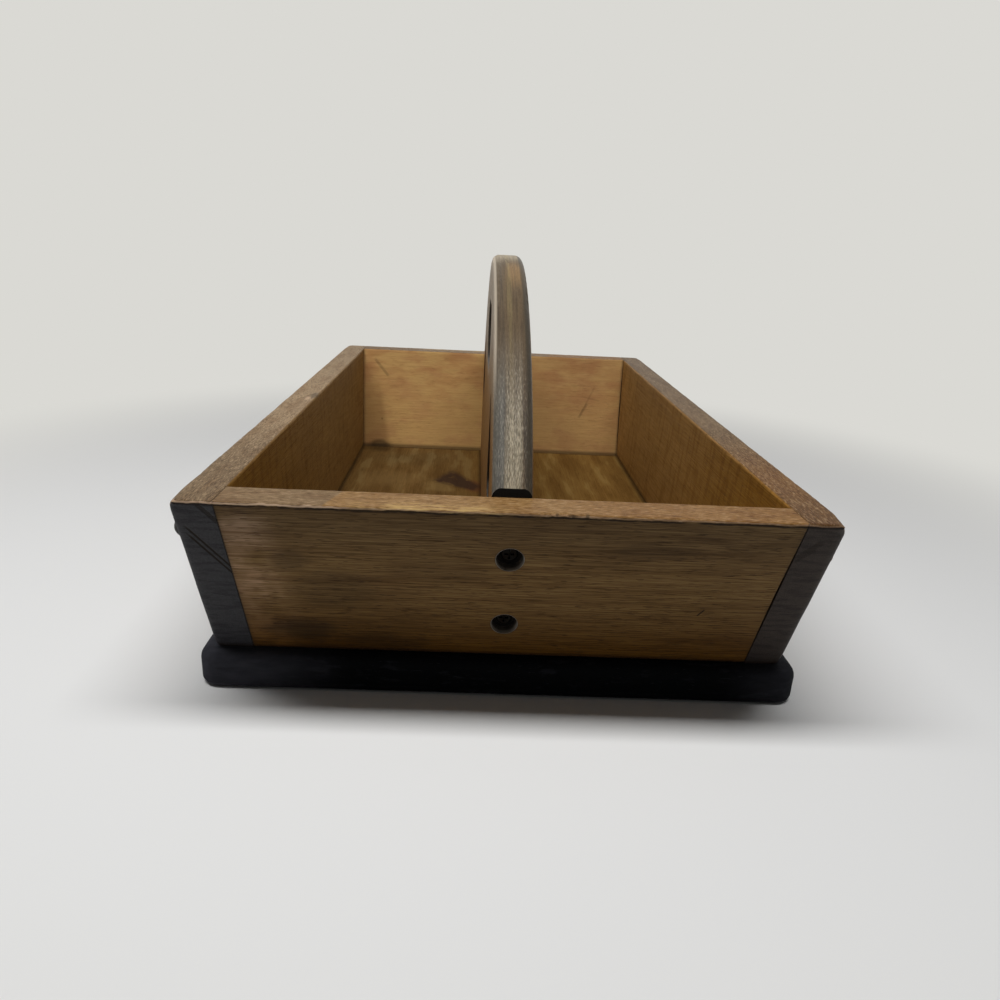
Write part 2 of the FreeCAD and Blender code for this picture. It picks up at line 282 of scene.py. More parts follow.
    def crest(self, end):
        """Masks of the top edge of an end: all above it, its bare line, which also carries a
        painted highlight, and the dark line below.
        """
        wander = self.spread(5.0, "X", 7.0, detail=2.0, shift=18.0)
        level = self.outcome("SeparateXYZ", self.place, output="Z")
        height = self.outcome("Math", wander, 1.4, level, operation="MULTIPLY_ADD")
        ragged = self.ramp(self.spread(3.0, "X", 14.0, shift=8.0), 0.34, 0.5)
        outermost = self.within((0, end, 0), 224.4, 225.0)
        above = self.ramp(height, 105.4, 105.7)
        line = self.times(above, self.ramp(height, 106.4, 106.1), outermost)
        dark = self.times(self.ramp(height, 104.3, 104.8), self.inverse(above), ragged)
        return above, line, dark

    def follow_arch(self, radius, centre_z):
        """Measure from now on round an arch: X across, Y along the curve, Z out from its centre."""
        x, y, z = add(self.tree, "SeparateXYZ", {0: self.place}).outputs
        above = self.outcome("Math", z, centre_z, operation="SUBTRACT")
        turn = self.outcome("Math", y, above, operation="ARCTAN2")
        spoke = self.outcome("CombineXYZ", y, above)
        out = self.outcome("VectorMath", spoke, operation="LENGTH", output="Value")
        self.place = self.outcome("CombineXYZ", x, self.times(turn, radius), out)

    def start(self, colour):
        """Begin a fresh colour, and hand back the one that was under way."""
        before = self.colour
        self.colour = self.outcome("RGB")
        self.colour.default_value = colour
        return before

    def tint(self, mask, colour, blend="MIX"):
        """Lay a colour over what is there, where the mask says."""
        if isinstance(mask, tuple):
            mask = self.times(*mask)
        # Of the mix node's sockets, 6 and 7 are the two colours.
        mixed = add(self.tree, "Mix", {0: mask, 6: self.colour, 7: colour},
                    data_type="RGBA", blend_type=blend)
        self.colour = mixed.outputs[2]

    def shade(self, mask, red, green, blue):
        """Multiply what is there, channel by channel, where the mask says."""
        self.tint(mask, (red, green, blue, 1.0), "MULTIPLY")

    def carve(self, mask, depth):
        """Lower the surface by a depth in millimetres, where the mask says."""
        self.height = self.outcome("Math", mask, -depth, self.height or 0.0,
                                   operation="MULTIPLY_ADD")

    def finish(self, smooth, rough=None, mask=None):
        """Join colour, relief and roughness to the shader. A mask runs from smooth to rough."""
        self.tree.links.new(self.colour, self.shader.inputs["Base Color"])
        if self.height is not None:
            bump = add(self.tree, "Bump", {"Height": self.height, "Distance": MM, "Strength": 1.0})
            self.tree.links.new(bump.outputs["Normal"], self.shader.inputs["Normal"])
        if mask is None:
            self.shader.inputs["Roughness"].default_value = smooth
        else:
            ranged = add(self.tree, "MapRange", {"Value": mask, "To Min": smooth, "To Max": rough})
            self.tree.links.new(ranged.outputs["Result"], self.shader.inputs["Roughness"])
        return self.material


# Board meshes, in metres

END_STEPS = (0.0, 0.0002, 0.0005, 0.0009, 0.0014, 0.0021, 0.0031, 0.0055)
SIDE_GRID = (0.006, 0.003, 0.008)       # largest cells across, along and up a side board
END_GRID = (0.001, 0.006, 0.006)        # the same, along, across and up an end board
LONG_DENTS, SHORT_DENTS = 45, 210       # noise cycles per metre of edge
SHARP_ANGLE = math.radians(32)


def graded(length, spacing):
    """Positions along a length, evenly spaced but close together near both ends."""
    half = length / 2
    inner = half - END_STEPS[-1]
    count = max(2, round(2 * inner / spacing))
    middle = [-inner + 2 * inner * step / count for step in range(count + 1)]
    return ([-half + step for step in END_STEPS[:-1]] + middle
            + [half - step for step in END_STEPS[-2::-1]])


def gridded_box(size, spacing):
    """Box mesh about the origin, with its six faces cut into a grid."""
    lines = [graded(size[axis], spacing[axis]) for axis in range(3)]
    mesh = bmesh.new()
    made = {}

    def corner(index):
        if index not in made:
            made[index] = mesh.verts.new([lines[axis][index[axis]] for axis in range(3)])
        return made[index]

    for axis in range(3):
        first, second = (axis + 1) % 3, (axis + 2) % 3
        for level in (0, len(lines[axis]) - 1):
            for a in range(len(lines[first]) - 1):
                for b in range(len(lines[second]) - 1):
                    ring = []
                    for step_a, step_b in ((0, 0), (1, 0), (1, 1), (0, 1)):
                        index = [0, 0, 0]
                        index[axis] = level
                        index[first] = a + step_a
                        index[second] = b + step_b
                        ring.append(corner(tuple(index)))
                    mesh.faces.new(ring if level else ring[::-1])
    return mesh


def round_edge(points, half, axes, signs, radius_at):
    """Round one edge of a box of points. radius_at gives the radius at a place along it."""
    first, second = axes
    along = 3 - first - second
    for point in points:
        radius = radius_at(point[along])
        a = radius - (half[first] - signs[0] * point[first])
        b = radius - (half[second] - signs[1] * point[second])
        if a > 0 and b > 0:
            pull = max(a, b) / math.hypot(a, b) - 1
            point[first] += signs[0] * a * pull
            point[second] += signs[1] * b * pull


def worn(radius, wear, seed, knocks=()):
    """Radius along an edge: uneven, never less than given, deeper at each knock.

    A knock is given by its place along the edge, its reach and its depth.
    """
    def at(place):
        long = noise.noise((place * LONG_DENTS, seed, 0.0))
        short = noise.noise((place * SHORT_DENTS, seed, 7.0))
        uneven = radius + wear * (max(0.0, long + 0.2) * 0.7 + max(0.0, short - 0.1))
        for centre, reach, depth in knocks:
            uneven += depth * max(0.0, 1 - abs(place - centre) / reach)
        return uneven
    return at


def dressed_board(name, node, size, spacing, edges, place):
    """Board with rounded, worn edges, moved from its own box of points to its place."""
    mesh = gridded_box(size, spacing)
    half = [extent / 2 for extent in size]
    points = [vertex.co for vertex in mesh.verts]
    for axes, signs, radius_at in edges:
        round_edge(points, half, axes, signs, radius_at)
    for point in points:
        point[:] = place(*point)
    bmesh.ops.recalc_face_normals(mesh, faces=mesh.faces)
    data = bpy.data.meshes.new(name)
    mesh.to_mesh(data)
    mesh.free()
    board = bpy.data.objects.new(name, data)
    bpy.context.scene.collection.objects.link(board)
    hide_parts(node)
    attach(board, "root")
    return board


def drill(board, holes):
    """Cut round holes, each given by a start, a direction, a diameter and a depth."""
    cutters = bmesh.new()
    for start, direction, diameter, depth in holes:
        turn = direction.to_track_quat("Z", "Y").to_matrix().to_4x4()
        middle = Matrix.Translation(start + direction * depth / 2)
        bmesh.ops.create_cone(cutters, cap_ends=True, segments=56, radius1=diameter / 2,
                              radius2=diameter / 2, depth=depth, matrix=middle @ turn)
    data = bpy.data.meshes.new("drill")
    cutters.to_mesh(data)
    cutters.free()
    drill_bit = bpy.data.objects.new("drill", data)
    bpy.context.scene.collection.objects.link(drill_bit)
    cut = board.modifiers.new("holes", "BOOLEAN")
    cut.operation = "DIFFERENCE"
    cut.solver = "EXACT"
    cut.object = drill_bit
    graph = bpy.context.evaluated_depsgraph_get()
    cut_mesh = bpy.data.meshes.new_from_object(board.evaluated_get(graph))
    board.modifiers.clear()
    board.data = cut_mesh
    bpy.data.objects.remove(drill_bit)


def smooth(board):
    board.data.shade_smooth()
    board.data.set_sharp_from_angle(angle=SHARP_ANGLE)


class Tray:
    """Lines of the splayed tray, worked out from the shape settings and the frame."""

    def __init__(self, shape):
        self.shape = shape
        self.height = RIM_Z - FLOOR_Z
        self.end_slope = math.tan(shape.end_splay)
        self.side_slope = math.tan(shape.side_lean)
        self.end_run = shape.thickness / math.cos(shape.end_splay)
        self.side_run = shape.thickness / math.cos(shape.side_lean)

    def side_outer(self, z):
        return self.shape.rim_width / 2 - (RIM_Z - z) * self.side_slope

    def side_inner(self, z):
        return self.side_outer(z) - self.side_run

    def end_outer(self, z):
        return self.shape.rim_length / 2 - (RIM_Z - z) * self.end_slope

    def place_side(self, side):
        """Map a side board's own points, thickness along X, to the tray."""
        def place(x, y, z):
            level = (FLOOR_Z + RIM_Z) / 2 + z
            long = self.end_outer(level) / self.end_outer(RIM_Z)
            return side * (self.side_outer(level) - self.side_run / 2 + x), y * long, level
        return place

    def place_end(self, end, gap):
        """Map an end board's own points, thickness along Y, to the tray."""
        def place(x, y, z):
            level = (FLOOR_Z + RIM_Z) / 2 + z
            wide = self.side_inner(level) / self.side_inner(RIM_Z)
            half = self.side_inner(RIM_Z)
            # The right-hand joint has opened a little, most of all half-way up.
            shrunk = gap * max(0.0, x / half) ** 8 * math.cos(math.pi * z / self.height)
            y = end * (self.end_outer(level) - self.end_run / 2 + y)
            return (x - shrunk) * wide, y, level
        return place


# Finishes
#
# Places and sizes are in millimetres in the tote's own frame. The two numbers after a noise are the
# levels between which its mask runs from 0 to 1. The three after shade's mask are colour factors.

LEFT, RIGHT = (-1, 0, 0), (1, 0, 0)
FRONT, REAR = (0, -1, 0), (0, 1, 0)
DOWN, UP = (0, 0, -1), (0, 0, 1)
FOOT_OF_TRAY = (UP, FLOOR_Z / MM - 1, FLOOR_Z / MM + 2.5, 3)       # the band where dirt collects

# Stains outside the front board: centre, radii and strength.
FRONT_STAINS = (
    ((-78, -210, 60), (24, 40, 16), 0.3),
    ((-98, -215, 76), (12, 40, 9), 0.34),
    ((-96, -201, 33), (22, 40, 9), 0.55),
    ((-58, -199, 27), (26, 40, 7), 0.25),
    ((-30, -213, 72), (30, 40, 10), 0.16),
    ((62, -219, 88), (26, 40, 6), 0.22))
# Dirty chips out of its crest: the same.
FRONT_CHIPS = (
    ((18.2, -226, 105.5), (1, 1.8, 1.1), 0.5),
    ((24.8, -226.2, 105.3), (2.6, 1.4, 1), 0.7),
    ((31, -225.8, 105.4), (1.4, 2.2, 1.2), 0.6))
# Scratches inside the rear board: both ends, width and strength.
REAR_SCRATCHES = (
    ((-114.8, 204.4, 98.6), (-99.5, 198.3, 81.5), 1.7, 0.3),
    ((99, 198.4, 82), (83.6, 187.5, 52), 1.2, 0.16),
    ((92, 192.6, 66), (83, 187.1, 51), 1.6, 0.25),
    ((86.5, 194.6, 71.3), (104, 193.3, 67.8), 1.1, 0.16))
# Drying cracks in the left board's front end, and knocks on the right board's: the same.
LEFT_CRACKS = (
    ((-139.8, -223, 94), (-122, -214.2, 69.2), 0.75, 1),
    ((-139.6, -221.6, 90), (-122, -212.8, 65.4), 0.75, 1),
    ((-132.4, -227.2, 105.6), (-123.8, -223.4, 94.6), 1.6, 0.7))
RIGHT_KNOCKS = (
    ((124.5, -220.4, 86.4), (134.4, -224.3, 97.6), 1.9, 0.55),
    ((125, -219.8, 84.8), (133, -222.8, 93), 0.9, 0.5))

# Stains on the tray's floor: centre, radii, wander and softness of the outline, strength, colour.
FLOOR_STAINS = (
    ((-86, 78, 19), (36, 30, 30), 0.5, 0.9, 0.25, (0.3, 0.19, 0.07, 1)),       # worn golden
    ((-44, 66, 19), (17, 24, 30), 0.6, 0.6, 0.25, (0.36, 0.24, 0.09, 1)),       # curly grain
    ((-14, 66, 19), (11, 26, 30), 0.5, 0.8, 0.5, (0.14, 0.045, 0.02, 1)),      # reddish
    ((14, 100, 19), (6, 60, 30), 0.4, 0.8, 0.5, (0.16, 0.06, 0.02, 1)))       # the same


def oiled_grain(coat, along, contrast=1):
    """Fibres, streaks, broad bands and faint blotches of a planed board, drawn along its grain."""
    # Fibres are about 0.1 mm wide and are drawn 0.4 mm wide, or they wouldn't show.
    fibres = coat.spread(0.4, along, 24, detail=2)
    streaks = coat.spread(0.9, along, 50, detail=2, shift=7)
    bands = coat.spread(4.5, along, 120, shift=3)
    blotches = coat.spread(34, along, 60, shift=9)
    pores = coat.spread(0.5, along, 7, detail=1, shift=5)
    for pattern, low, high, factors in (
            (fibres, 0.38, 0.6, (0.6, 0.56, 0.5)),
            (streaks, 0.46, 0.64, (0.78, 0.75, 0.69)),
            (bands, 0.42, 0.66, (0.86, 0.83, 0.78)),
            (blotches, 0.45, 0.7, (0.84, 0.81, 0.8)),
            (pores, 0.61, 0.69, (0.46, 0.42, 0.38))):
        coat.shade((coat.ramp(pattern, low, high), contrast), *factors)
    coat.carve(coat.times(coat.ramp(fibres, 0.3, 0.7), contrast), 0.05)
    coat.carve(coat.times(coat.ramp(pores, 0.62, 0.7), contrast), 0.07)
    return fibres


def rim_speckle(coat, rim, along):
    """Grain of a bare rim: short fibres torn pale and dark, close together."""
    specks = coat.spread(0.5, along, 3, shift=11)
    wash = coat.spread(6, along, 22, shift=12)
    coat.tint((rim, coat.ramp(specks, 0.53, 0.68), 0.38), (0.56, 0.41, 0.25, 1))
    coat.shade((rim, coat.ramp(specks, 0.5, 0.34)), 0.5, 0.44, 0.36)
    coat.shade((rim, coat.ramp(wash, 0.44, 0.64)), 0.8, 0.74, 0.68)
    coat.carve(coat.times(rim, specks), 0.12)


def end_board_finish(finish, tray, end, hole_heights):
    """Oiled softwood, planed: satin, golden inside, brown outside, worn pale along the rim."""
    word = "front" if end < 0 else "rear"
    coat = Coat(f"Oiled softwood, {word} end", finish.end_inner)
    outside = coat.facing((0, end, -0.3), 0.45, 0.65)
    inside = coat.facing((0, -end, 0.3), 0.45, 0.8)
    crest, crest_line, under_line = coat.crest(end)
    rim = coat.either(coat.facing(UP, 0.75, 0.93), crest)
    # Inside, the grain is fainter, in soft pinkish and golden clouds.
    oiled_grain(coat, "X", 0.22)
    clouds = coat.spread(14, "X", 26, shift=31)
    coat.shade(coat.ramp(clouds, 0.46, 0.66), 0.92, 0.86, 0.9)
    mottle = coat.spread(10, "X", 28, shift=33)
    coat.shade((coat.ramp(mottle, 0.38, 0.64), coat.within(UP, 30, 95)), 0.84, 0.74, 0.74)
    inner_colour = coat.start(finish.outer)
    # Painted light: a brighter band at the left end of the outside, where the light falls.
    coat.tint((outside, coat.within((-1, 0, -0.1), 88, 106),
               coat.ramp(coat.spread(24), 0.35, 0.6)), finish.outer_lit)
    fibres = oiled_grain(coat, "X")
    bare = coat.times(coat.either(coat.inverse(outside), crest), 0.75)
    coat.tint(bare, finish.rim_bare)
    coat.tint((bare, coat.within(RIGHT, -5, 60)), finish.rim_brown)
    # The oil ends in a slanting line, left of which the rim has gone grey.
    coat.tint((bare, coat.within((-1, 0.3, 0), 11.4, 12.6)), finish.rim_grey)
    rim_speckle(coat, rim, "X")
    coat.tint(inside, inner_colour)
    # The outside is greyer towards the top, warm and dark at the foot.
    coat.shade((outside, coat.within(UP, 66, 104)), 0.72, 0.75, 0.84)
    coat.shade((outside, coat.within(DOWN, -62, -20)), 0.58, 0.44, 0.17)
    coat.shade((outside, coat.within(DOWN, -60, -25), coat.within(LEFT, 10, 60)),
               0.66, 0.64, 0.6)
    side_face = tray.side_inner(0) / MM
    joints = coat.both(coat.within, (1, 0, -tray.side_slope), side_face - 2.5, side_face - 0.1)
    seams = coat.both(coat.within, (1, 0, -tray.side_slope), side_face - 0.7, side_face - 0.2)
    foot = coat.between(*FOOT_OF_TRAY)
    for spot in ((outside, joints, 0.25), (outside, seams, 0.8), (foot, 0.65),
                 (inside, joints, 0.5), (outside, under_line, 0.85)):
        coat.tint(spot, finish.dirt_and_shade)
    # The crest line is rubbed bare and painted as a highlight, most strongly on the left.
    coat.tint((crest_line, coat.either(coat.within(LEFT, 62, 80), 0.25), 0.8),
              finish.edge_pale_and_highlight)
    # Painted golden highlights along the outer edge of the rim, left of the middle.
    golden = coat.ramp(coat.spread(1.2, "X", 9, shift=41), 0.42, 0.62)
    coat.tint((rim, coat.within((0, end, 0), 217, 223),
               coat.between(RIGHT, -62, -6, 30), golden, 0.5), (0.62, 0.42, 0.16, 1))
    if end < 0:
        for centre, radii, strength in FRONT_STAINS:
            coat.tint((coat.patch(centre, radii), outside, strength), finish.dirt_and_shade)
        scratch = coat.stroke((90, -207, 50.3), (93, -208.8, 54.7), 0.55)
        coat.tint((scratch, outside, 0.95), finish.dirt_and_shade)
        for centre, radii, strength in FRONT_CHIPS:
            coat.tint((coat.patch(centre, radii, wander=0.6), strength), finish.dirt_and_shade)
    else:
        for start, stop, width, strength in REAR_SCRATCHES:
            coat.tint((coat.stroke(start, stop, width), strength), finish.dirt_and_shade)
        coat.tint((coat.patch((-105, 184.7, 44), (1.5, 9, 1.5)), 0.35), finish.dirt_and_shade)
        coat.tint((inside, coat.patch((-106, 176, 20), (15, 30, 7)), 0.6), finish.dirt_and_shade)
        # A painted shadow of the left board: a dusky wedge beside the left joint.
        coat.shade((inside, coat.within((-1, 0, -0.19), 90, 97),
                    coat.within(DOWN, -100, -40)), 0.7, 0.66, 0.64)
        # Painted shade right of the handle, which stands between this part and the light from the
        # left.
        coat.shade((inside, coat.within(RIGHT, -10, 60)), 0.88, 0.87, 0.9)
    coat.tint(coat.both(coat.facing, RIGHT, 0.9, 0.99), finish.dirt_and_shade)
    for height in hole_heights:
        # A counterbore with a grimy ring round it. Its wall is painted light grey as a highlight,
        # and its seat near black as shade.
        face = tray.end_outer(height * MM) / MM
        centre = (0, end * face, height)
        ring = coat.patch(centre, (7.4, 400, 7.4), wander=0, soft=0.16)
        coat.tint((outside, ring, 0.5), finish.dirt_and_shade)
        wall = coat.patch(centre, (6.6, 400, 6.6), wander=0, soft=0.06)
        coat.tint(wall, finish.hole_wall_highlight)
        seat = coat.within((0, -end, 0), 3 - face, 6.5 - face)
        coat.tint((wall, seat, 0.97), finish.dirt_and_shade)
    return coat.finish(0.42, 0.62, fibres)


def side_board_finish(finish, tray, side):
    """Oiled softwood, planed, with sawn ends that drank the stain and went grey-black."""
    word = "left" if side < 0 else "right"
    coat = Coat(f"Oiled softwood, {word} side", finish.side_inner)
    inside = coat.facing((-side, 0, 0), 0.45, 0.7)
    fore, fore_line, fore_dark = coat.crest(-1)
    aft, aft_line, aft_dark = coat.crest(1)
    crest = coat.times(fore, aft)
    rim = coat.either(coat.facing(UP, 0.75, 0.93), crest)
    oiled_grain(coat, "Y", 0.6)
    # Light and dark swirls across the inner faces: curly figure, with its sheen painted in.
    swirls = coat.spread(5, "Z", 26, shift=13)
    coat.shade(coat.ramp(swirls, 0.48, 0.62), 0.8, 0.76, 0.68)
    coat.shade(coat.within((0, -1, -0.8), -40, 110), 0.8, 0.72, 0.42)
    # The left board's inner face, turned from the light, is painted in shade.
    if side < 0:
        coat.shade(1, 0.84, 0.88, 0.92)
    inner_colour = coat.start(finish.outer)
    fibres = oiled_grain(coat, "Y")
    outward = coat.facing((side, 0, 0), 0.45, 0.65)
    bare = coat.times(coat.either(coat.inverse(outward), crest), 0.75)
    if side > 0:
        coat.tint(bare, finish.rim_grey)
        coat.tint((bare, coat.within(FRONT, 60, 170)), finish.rim_brown)
        coat.shade((bare, coat.within(FRONT, 160, 222)), 0.6, 0.6, 0.68)
        coat.shade(bare, 0.72, 0.64, 0.5)
    else:
        coat.tint(bare, finish.rim_pale)
        coat.tint((bare, coat.within(FRONT, 30, 180)), finish.rim_grey)
        coat.shade((bare, coat.within(FRONT, 90, 200)), 0.72, 0.7, 0.68)
    rim_speckle(coat, rim, "Y")
    coat.tint(inside, inner_colour)
    sawn = coat.both(coat.facing, (0, -1, -0.35), 0.35, 0.6)
    sawn = coat.times(sawn, coat.inverse(crest))
    coat.tint(sawn, finish.sawn_left if side < 0 else finish.sawn_right)
    rings = coat.spread(2.2, "X", 14, shift=17)
    coat.shade((sawn, coat.ramp(rings, 0.46, 0.64)), 0.68, 0.68, 0.7)
    coat.shade((sawn, coat.ramp(coat.spread(0.8), 0.46, 0.62)), 0.8, 0.8, 0.8)
    coat.shade((sawn, coat.within(DOWN, -44, -20)), 0.72, 0.72, 0.76)
    foot = coat.between(*FOOT_OF_TRAY)
    end_face = (tray.end_outer(0) - tray.end_run) / MM
    hidden = coat.both(coat.within, (0, -1, -tray.end_slope), end_face + 0.8, end_face + 1.6)
    joint = coat.both(coat.within, (0, -1, -tray.end_slope), end_face - 4.6, end_face)
    under_line = coat.either(fore_dark, aft_dark)
    for spot in ((foot, 0.6), (inside, hidden), (inside, joint, 0.45), (sawn, under_line, 0.8)):
        coat.tint(spot, finish.dirt_and_shade)
    # The crest lines are rubbed bare and painted as a highlight, most on the left board.
    coat.tint((coat.either(fore_line, aft_line), 0.75 if side < 0 else 0.2), finish.edge_pale_and_highlight)
    if side < 0:
        for start, stop, width, strength in LEFT_CRACKS:
            crack = coat.stroke(start, stop, width)
            coat.tint((crack, strength), finish.dirt_and_shade)
            coat.carve(crack, 0.3)
        knot = coat.patch((-127.4, -12, 106), (3.4, 12, 20))
        coat.tint((rim, knot, 0.5), finish.dirt_and_shade)
        chip = coat.patch((-129.5, -22, 106), (2.2, 7, 20))
        coat.tint((rim, chip, 0.6), finish.edge_pale_and_highlight)
    else:
        for start, stop, width, strength in RIGHT_KNOCKS:
            coat.tint((coat.stroke(start, stop, width), sawn, strength), finish.dirt_and_shade)
    return coat.finish(0.42, 0.62, fibres)


def handle_finish(finish, arch_radius, arch_centre):
    """Bare softwood polished by hands along the arch, with a painted blue-grey sheen on the left,
    oiled brown on its faces and painted paler with sheen above the rim.
    """
    coat = Coat("Hand-worn softwood", finish.hand_grey, specular=0.15)
    flat = coat.place
    coat.follow_arch(arch_radius, arch_centre)
    low = coat.both(coat.within, FRONT, 130, 205)
    high = coat.inverse(low)
    # Place across the edge, with the borders between its bands wandering a little.
    wander = coat.times(coat.spread(2, "Y", 60, shift=21), 3)
    across = coat.outcome("SeparateXYZ", coat.place, output="X")
    across = coat.outcome("Math", across, wander, operation="ADD")
    # A painted blue-grey sheen on the left, polished in the middle, grimy on the right round.
    sheened = coat.ramp(across, -1.4, -2.8)
    polished = coat.times(coat.ramp(across, -2.8, -1.4), coat.ramp(across, 6.4, 5))
    coat.tint((sheened, low), finish.hand_sheen)
    coat.tint((sheened, high, 0.1), finish.hand_sheen)
    coat.tint((polished, low), finish.hand_pale)
    crown = coat.between(REAR, -34, 34, 34)
    bared = coat.times(coat.between(REAR, -84, -44, 30), coat.ramp(across, -2.5, 1))
    coat.tint((crown, 0.8), finish.hand_pale)
    coat.tint(bared, finish.hand_tan)
    line = coat.times(coat.ramp(across, -1.3, -0.3), coat.ramp(across, 1.7, 0.7), high)
    coat.tint((line, 0.35), (0.26, 0.2, 0.09, 1))
    fine = coat.spread(0.7, "Y", 26, detail=2, shift=2)
    streaks = coat.spread(1.8, "Y", 80, detail=2, shift=4)
    coat.shade((polished, coat.within(FRONT, 165, 210)), 1.35, 1.4, 1.42)
    coat.shade((crown, 0.8), 1.4, 1.42, 1.42)
    coat.shade(coat.ramp(fine, 0.42, 0.64), 0.74, 0.72, 0.7)
    coat.shade(coat.ramp(streaks, 0.48, 0.62), 0.8, 0.8, 0.82)
    specks = coat.spread(0.32, "Y", 3)
    coarse = coat.times(low, coat.either(coat.inverse(sheened), 0.5))
    coat.shade((coat.ramp(specks, 0.46, 0.58), coat.either(coarse, 0.3)), 0.48, 0.47, 0.46)
    bright = coat.times(coat.ramp(specks, 0.46, 0.34), coat.either(polished, 0.5), low)
    coat.tint((bright, 0.45), (0.56, 0.5, 0.4, 1))
    coat.tint((coat.ramp(across, 6.4, 8.2), 0.75), finish.hand_dark)
    faces = coat.both(coat.facing, LEFT, 0.85, 0.98)
    inner = coat.within(DOWN, 7 - arch_radius, 10 - arch_radius)
    opening = coat.times(inner, coat.inverse(faces))
    near_arch = coat.within(UP, arch_radius - 9, arch_radius - 2)
    coat.carve(specks, 0.05)
    edge_colour = coat.colour
    coat.place = flat
    coat.start(finish.handle_face)
    # Painted sheen: the faces are paler above the rim.
    coat.tint(coat.within(UP, 112, 150), finish.handle_face_sheen)
    oiled_grain(coat, "Y", 0.8)
    face_colour = coat.colour
    coat.colour = edge_colour
    coat.tint(faces, face_colour)
    # The left arris is rubbed bare above the rims, and painted there as a highlight.
    arris = coat.times(coat.within(LEFT, 7.6, 8.8), coat.within(UP, 135, 165), near_arch)
    coat.tint((arris, 0.9), finish.handle_bare_and_highlight)
    # Painted shade inside the openings of the arch.
    coat.tint((opening, 0.9), finish.dirt_and_shade)
    scratch = coat.stroke((-2.5, -26, 201.6), (-0.5, -44, 199.2), 0.5)
    coat.tint((scratch, 0.6), finish.dirt_and_shade)
    # The arch's end faces just above the rim: dark end grain, painted black with the deep shade
    # between rim and board.
    feet = coat.both(coat.facing, FRONT, 0.7, 0.85)
    coat.tint((feet, coat.between(UP, 104.5, 110.3, 0.6)), finish.base_black_and_shade)
    return coat.finish(0.38, 0.58, specks)


def base_finish(finish):
    """Softwood stained black, dead matt, rubbed grey towards its ends, oiled brown in the tray."""
    coat = Coat("Black-stained softwood", finish.base_black_and_shade, specular=0.03)
    smears = coat.spread(4, "X", 16, detail=5)
    smeared = coat.ramp(smears, -0.4, 0.8)
    flecks = coat.spread(0.7, "X", 4)
    for spot in ((coat.within(LEFT, 70, 128), smeared),
                 (coat.within(RIGHT, 105, 140), smeared, 0.48),
                 (coat.ramp(smears, 0.56, 0.68), 0.18),
                 (coat.ramp(flecks, 0.64, 0.72), 0.25),
                 (coat.edges(2), coat.ramp(smears, 0.5, 0.6), 0.3)):
        coat.tint(spot, finish.base_worn)
    black = coat.colour
    coat.start(finish.floor)
    oiled_grain(coat, "Y", 0.4)
    wash = coat.spread(13, "Y", 70, shift=15)
    coat.shade(coat.ramp(wash, 0.46, 0.64), 0.78, 0.74, 0.7)
    coat.tint((coat.ramp(wash, 0.46, 0.34), 0.3), (0.36, 0.24, 0.08, 1))
    coat.shade(coat.within(LEFT, -10, 40), 0.74, 0.75, 0.88)
    # The rear left has gone olive and dark.
    olive = coat.patch((-74, 140, 19), (52, 34, 30), wander=0.5, soft=0.9)
    coat.shade(olive, 0.88, 0.93, 1)
    for centre, radii, wander, soft, strength, stain in FLOOR_STAINS:
        coat.tint((coat.patch(centre, radii, wander, soft), strength), stain)
    # Beside the handle is a knot with four corners.
    knot = coat.times(coat.within((0.49, 0.78, 0), 31, 38),
                      coat.within((-0.92, -0.57, 0), -33, -25),
                      coat.between((-0.9, 0.43, 0), 37, 77, 8),
                      coat.ramp(coat.spread(9, shift=4), 0.28, 0.48))
    coat.tint((knot, 0.9), (0.042, 0.022, 0.014, 1))
    corner = coat.patch((-104, 168, 19), (20, 16, 30), wander=0.4, soft=0.8)
    coat.tint((corner, 0.55), finish.dirt_and_shade)
    joints = coat.either(coat.both(coat.within, RIGHT, 118, 121.5),
                         coat.both(coat.within, REAR, 171.5, 175.5),
                         coat.between(RIGHT, -11.5, 11.5, 3))
    coat.tint((joints, 0.6), finish.dirt_and_shade)
    brown = coat.colour
    coat.colour = black
    coat.tint((coat.between(RIGHT, -138.5, 138.5, 1), coat.between(REAR, -191.5, 191.5, 1),
               coat.facing(UP, 0.8, 0.95)), brown)
    return coat.finish(0.6, 0.8, flecks)


def domed_plug_finish(finish):
    """Turned softwood, oiled dark: smooth domes that have gone as grey as the sawn ends."""
    coat = Coat("Oiled softwood plug", finish.sawn_left)
    oiled_grain(coat, "Y", 0.7)
    return coat.finish(0.42)


def flush_plug_finish(finish):
    """The same wood cut off flush, oiled like the board around it."""
    coat = Coat("Oiled softwood plug, flush", finish.outer)
    oiled_grain(coat, "Z")
    return coat.finish(0.5)


def screw_finish(finish):
    """Blackened steel: dark, with weak soft reflections and brown dust in the recess."""
    coat = Coat("Blackened steel", finish.steel)
    coat.shader.inputs["Metallic"].default_value = 1
    spots = coat.spread(1.5, detail=4)
    coat.tint((coat.ramp(spots, 0.45, 0.65), 0.7), finish.dirt_and_shade)
    return coat.finish(0.45, 0.75, spots)


def dress(board, material):
    board.data.materials.clear()
    board.data.materials.append(material)


def dress_node(name, material):
    """Give a node of the frame a finish, without touching its mesh."""
    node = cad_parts[name]
    for slot in node.material_slots:
        slot.link = "OBJECT"
        slot.material = material


# Operators

